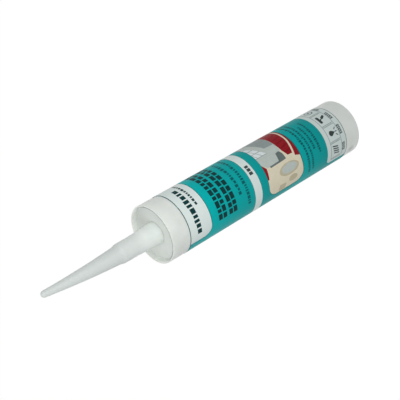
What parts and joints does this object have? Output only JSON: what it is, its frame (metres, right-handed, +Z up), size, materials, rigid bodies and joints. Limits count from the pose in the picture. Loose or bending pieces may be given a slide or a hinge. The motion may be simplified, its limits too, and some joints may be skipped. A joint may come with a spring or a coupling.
{
  "type": "caulk tube",
  "caption": "Sealant cartridge with a recessed head, a screw-on pointed nozzle, a wrapped label and a piston that pushes the paste out from the rear.",
  "frame": {"origin": "centre of the open rear rim, on the surface that the cartridge stands on", "axes": "+Z up the barrel's axis to the nozzle; +X the side to which the nozzle's tip is set; +Y the side with the label's overlap"},
  "size_m": [0.0504, 0.0505, 0.3251],
  "materials": {
    "barrel_plastic": "satin moulded polyethylene",
    "nozzle_plastic": "satin, slightly translucent polyethylene",
    "piston_plastic": "satin moulded polyethylene",
    "sealant_paste": "smooth white paste",
    "label_film": "printed film, soft gloss"
  },
  "bodies": {
    "cartridge": {"cartridge": "barrel_plastic", "label": "label_film", "sealant": "sealant_paste"},
    "nozzle": {"nozzle": "nozzle_plastic"},
    "piston": {"piston": "piston_plastic"}
  },
  "joints": [
    {"name": "nozzle_lift", "type": "slide", "parent": "cartridge", "child": "nozzle", "axis": [0, 0, 1], "range_m": [0, 0.03]},
    {"name": "piston_slide", "type": "slide", "parent": "cartridge", "child": "piston", "axis": [0, 0, 1], "range_m": [0, 0.178], "deforming": ["sealant"]}
  ]
}
